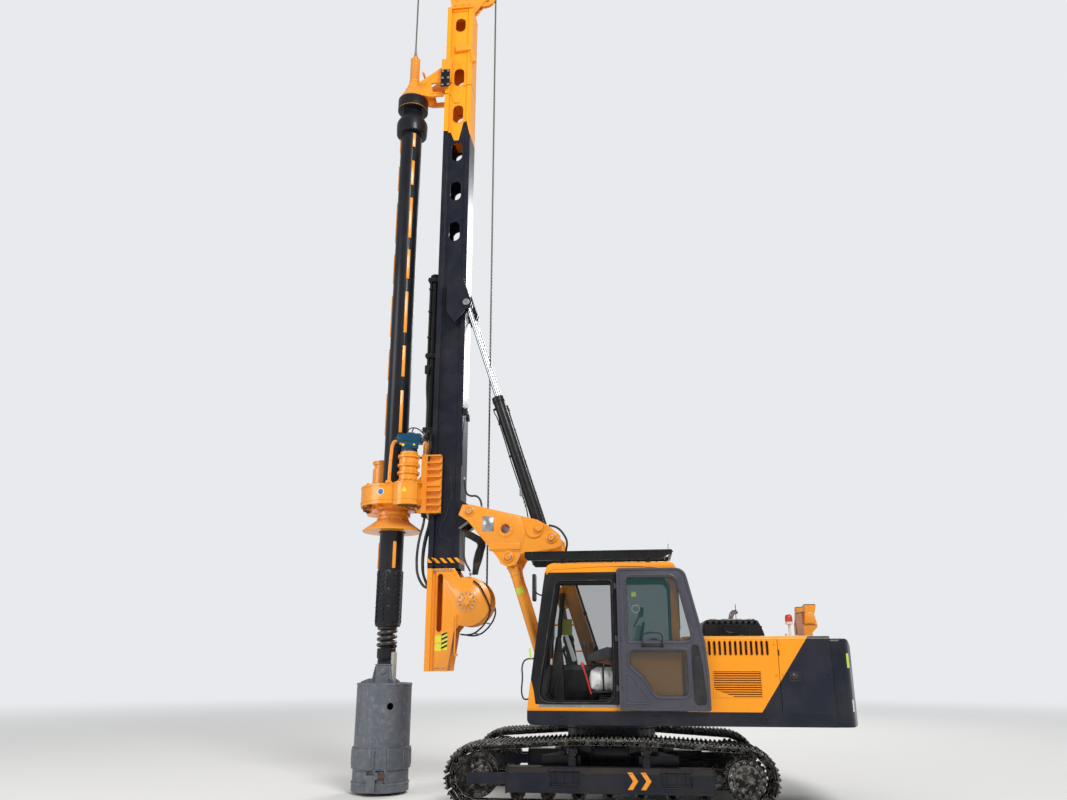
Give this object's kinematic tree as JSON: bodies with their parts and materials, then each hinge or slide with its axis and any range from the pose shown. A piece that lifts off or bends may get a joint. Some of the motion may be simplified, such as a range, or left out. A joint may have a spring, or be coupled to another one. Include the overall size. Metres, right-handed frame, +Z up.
{
  "type": "rotary piling rig",
  "caption": "Rotary piling rig on a crawler base: upright mast on a lifting linkage, rotary drive, kelly bar, drilling bucket, winch, cab and slewing upper body.",
  "frame": {"origin": "on the ground, in the middle of the rig's box as parked", "axes": "+Z up, the rig faces -X with its mast upright in front, its cab on the -Y side, Y across the tracks"},
  "size_m": [6.9918, 2.942, 14.215],
  "materials": {
    "navy": "semi-gloss",
    "orange": "gloss",
    "dark": "satin",
    "grey": "satin",
    "red": "gloss",
    "glass": "clear",
    "tool_steel": "worn",
    "cast": "dull",
    "chrome": "polished",
    "seat_cloth": "matt",
    "plastic": "matt"
  },
  "bodies": {
    "undercarriage": {"car_body": "navy", "track_frames": "navy", "track_loops": "cast", "idlers": "cast", "sprockets": "cast", "track_rollers": "cast"},
    "upper": {"deck": "navy", "linkage_foot": "navy", "cab_shell": "orange", "cab_glass": "glass", "roof_guard": "dark", "seat": "seat_cloth", "controls": "plastic", "side_panels": "orange", "hood": "orange", "engine_cover": "dark", "engine_block": "cast", "counterweight": "navy", "tanks": "orange", "exhaust": "dark", "mast_rest": "orange", "beacon": "red", "handrails": "orange"},
    "cab_door": {"cab_door": "grey", "door_glass": "glass"},
    "boom": {"boom": "orange"},
    "links": {"links": "orange"},
    "luff_barrels": {"luff_barrels": "dark"},
    "luff_rods": {"luff_rods": "chrome"},
    "deltoid": {"deltoid": "orange", "linkage_pins": "cast"},
    "mast": {"mast_foot": "orange", "mast_lower": "navy", "mast_upper": "orange", "mast_head": "orange", "crowd_barrel": "dark"},
    "mast_barrels": {"mast_barrels": "dark"},
    "mast_rods": {"mast_rods": "chrome"},
    "winch_drum": {"winch_drum": "dark"},
    "front_sheave": {"front_sheave": "orange"},
    "rear_sheave": {"rear_sheave": "orange"},
    "carriage": {"carriage": "orange", "gearbox": "orange", "drive_motors": "orange", "crowd_rod": "chrome"},
    "drive_sleeve": {"drive_sleeve": "orange"},
    "kelly_guide": {"kelly_guide": "orange"},
    "kelly": {"kelly": "dark", "kelly_spring": "cast", "bucket": "tool_steel"},
    "bucket_door": {"bucket_door": "tool_steel"}
  },
  "joints": [
    {"name": "slew", "type": "hinge", "parent": "undercarriage", "child": "upper", "pos_m": [0.29593, 0, 0.93], "axis": [0, 0, 1], "continuous": true},
    {"name": "door_swing", "type": "hinge", "parent": "upper", "child": "cab_door", "pos_m": [0.43093, -1.375, 1.4], "axis": [0, 0, -1], "range_deg": [0, 180]},
    {"name": "luff", "type": "hinge", "parent": "upper", "child": "boom", "pos_m": [0.11993, 0, 1.566], "axis": [0, 1, 0], "range_deg": [-65, 5]},
    {"name": "link_swing", "type": "hinge", "parent": "upper", "child": "links", "pos_m": [-0.50407, 0, 1.3], "axis": [0, 1, 0], "range_deg": [-66, 6]},
    {"name": "deltoid_level", "type": "hinge", "parent": "boom", "child": "deltoid", "pos_m": [-0.47793, 0, 3.44729], "axis": [0, 1, 0], "range_deg": [-6, 66]},
    {"name": "luff_barrel_swing", "type": "hinge", "parent": "upper", "child": "luff_barrels", "pos_m": [-0.15407, 0, 1.32], "axis": [0, 1, 0], "range_deg": [-67.2, 7]},
    {"name": "luff_rod_slide", "type": "slide", "parent": "luff_barrels", "child": "luff_rods", "axis": [-0.1727, 0, 0.985], "range_m": [-0.416, 0.05]},
    {"name": "mast_tilt", "type": "hinge", "parent": "deltoid", "child": "mast", "pos_m": [-1.68593, 0, 3.85329], "axis": [0, -1, 0], "range_deg": [-90, 5]},
    {"name": "mast_barrel_swing", "type": "hinge", "parent": "deltoid", "child": "mast_barrels", "pos_m": [-0.65393, 0, 3.59629], "axis": [0, -1, 0], "range_deg": [-100.3, 7.5]},
    {"name": "mast_rod_slide", "type": "slide", "parent": "mast_barrels", "child": "mast_rods", "axis": [-0.3075, 0, 0.9516], "range_m": [-1.46, 0.1]},
    {"name": "winch_spin", "type": "hinge", "parent": "mast", "child": "winch_drum", "pos_m": [-1.73393, 0, 2.58029], "axis": [0, 1, 0], "continuous": true},
    {"name": "front_sheave_spin", "type": "hinge", "parent": "mast", "child": "front_sheave", "pos_m": [-2.75393, 0, 13.99], "axis": [0, 1, 0], "continuous": true},
    {"name": "rear_sheave_spin", "type": "hinge", "parent": "mast", "child": "rear_sheave", "pos_m": [-1.69393, 0, 13.49], "axis": [0, 1, 0], "continuous": true},
    {"name": "crowd", "type": "slide", "parent": "mast", "child": "carriage", "axis": [0, 0, 1], "range_m": [-2.1, 0]},
    {"name": "kelly_lift", "type": "slide", "parent": "mast", "child": "kelly_guide", "axis": [0, 0, 1], "range_m": [-6, 0.95]},
    {"name": "kelly_spin", "type": "hinge", "parent": "kelly_guide", "child": "kelly", "pos_m": [-2.95393, 0, 11.11], "axis": [0, 0, 1], "continuous": true},
    {"name": "sleeve_spin", "type": "hinge", "parent": "carriage", "child": "drive_sleeve", "pos_m": [-2.95393, 0, 3.99], "axis": [0, 0, 1], "continuous": true},
    {"name": "bucket_door_swing", "type": "hinge", "parent": "kelly", "child": "bucket_door", "pos_m": [-2.95393, -0.435, 0.25], "axis": [-1, 0, 0], "range_deg": [0, 65]}
  ],
  "couplings": [
    {"joint": "link_swing", "follows": "luff", "ratio": 1},
    {"joint": "deltoid_level", "follows": "luff", "ratio": -1},
    {"joint": "luff_barrel_swing", "follows": "luff", "ratio": 1.0035},
    {"joint": "luff_rod_slide", "follows": "luff", "m_per_rad": 0.3488},
    {"joint": "mast_barrel_swing", "follows": "mast_tilt", "ratio": 1.0919},
    {"joint": "mast_rod_slide", "follows": "mast_tilt", "m_per_rad": 0.9168},
    {"joint": "sleeve_spin", "follows": "kelly_spin", "ratio": 1}
  ]
}
